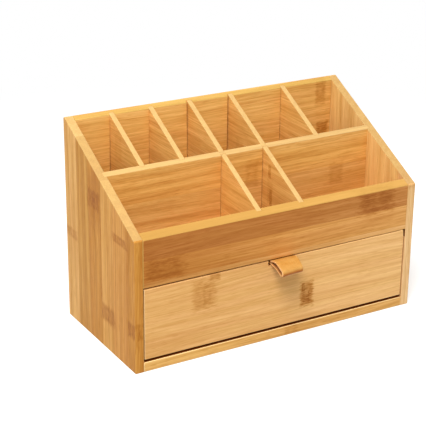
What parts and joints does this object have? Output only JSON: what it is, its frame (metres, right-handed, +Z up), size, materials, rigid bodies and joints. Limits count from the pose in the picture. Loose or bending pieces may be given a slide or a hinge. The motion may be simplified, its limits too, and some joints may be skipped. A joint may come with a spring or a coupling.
{
  "type": "bathroom organizer",
  "caption": "Bamboo desktop organizer with a sloping top, divided open compartments in two rows and a drawer with a folded leather pull",
  "frame": {"origin": "middle of the underside of the case, between its front and back faces", "axes": "+X to the right across the width, +Y from the drawer front to the back, +Z up"},
  "size_m": [0.3, 0.1645, 0.1987],
  "materials": {
    "side_bamboo": "laminated bamboo, upright grain, satin clear lacquer",
    "inner_bamboo": "laminated bamboo, satin clear lacquer",
    "panel_bamboo": "laminated caramel bamboo, grain across, satin clear lacquer",
    "base_bamboo": "laminated bamboo, grain across, satin clear lacquer",
    "divider_bamboo": "thin laminated bamboo, satin clear lacquer",
    "drawer_front_bamboo": "laminated pale bamboo, grain across, satin clear lacquer",
    "drawer_bamboo": "laminated bamboo, satin clear lacquer",
    "dowel_wood": "plain beech dowel",
    "tan_leather": "smooth tan strap leather",
    "screw_steel": "zinc plated"
  },
  "bodies": {
    "case": {"left_side": "side_bamboo", "right_side": "side_bamboo", "back_panel": "inner_bamboo", "front_panel": "panel_bamboo", "base_board": "base_bamboo", "compartment_floor": "inner_bamboo", "middle_divider": "divider_bamboo", "rear_divider_1": "divider_bamboo", "rear_divider_2": "divider_bamboo", "rear_divider_3": "divider_bamboo", "rear_divider_4": "divider_bamboo", "rear_divider_5": "divider_bamboo", "front_divider_1": "divider_bamboo", "front_divider_2": "divider_bamboo", "base_dowels": "dowel_wood", "front_panel_dowels": "dowel_wood", "back_panel_dowels": "dowel_wood"},
    "drawer": {"drawer_front": "drawer_front_bamboo", "drawer_left_side": "drawer_bamboo", "drawer_right_side": "drawer_bamboo", "drawer_back": "drawer_bamboo", "drawer_bottom": "drawer_bamboo", "drawer_dowels": "dowel_wood", "pull_tab": "tan_leather", "tab_screws": "screw_steel"}
  },
  "joints": [
    {"name": "drawer_slide", "type": "slide", "parent": "case", "child": "drawer", "axis": [0, -1, 0], "range_m": [0, 0.1]}
  ]
}
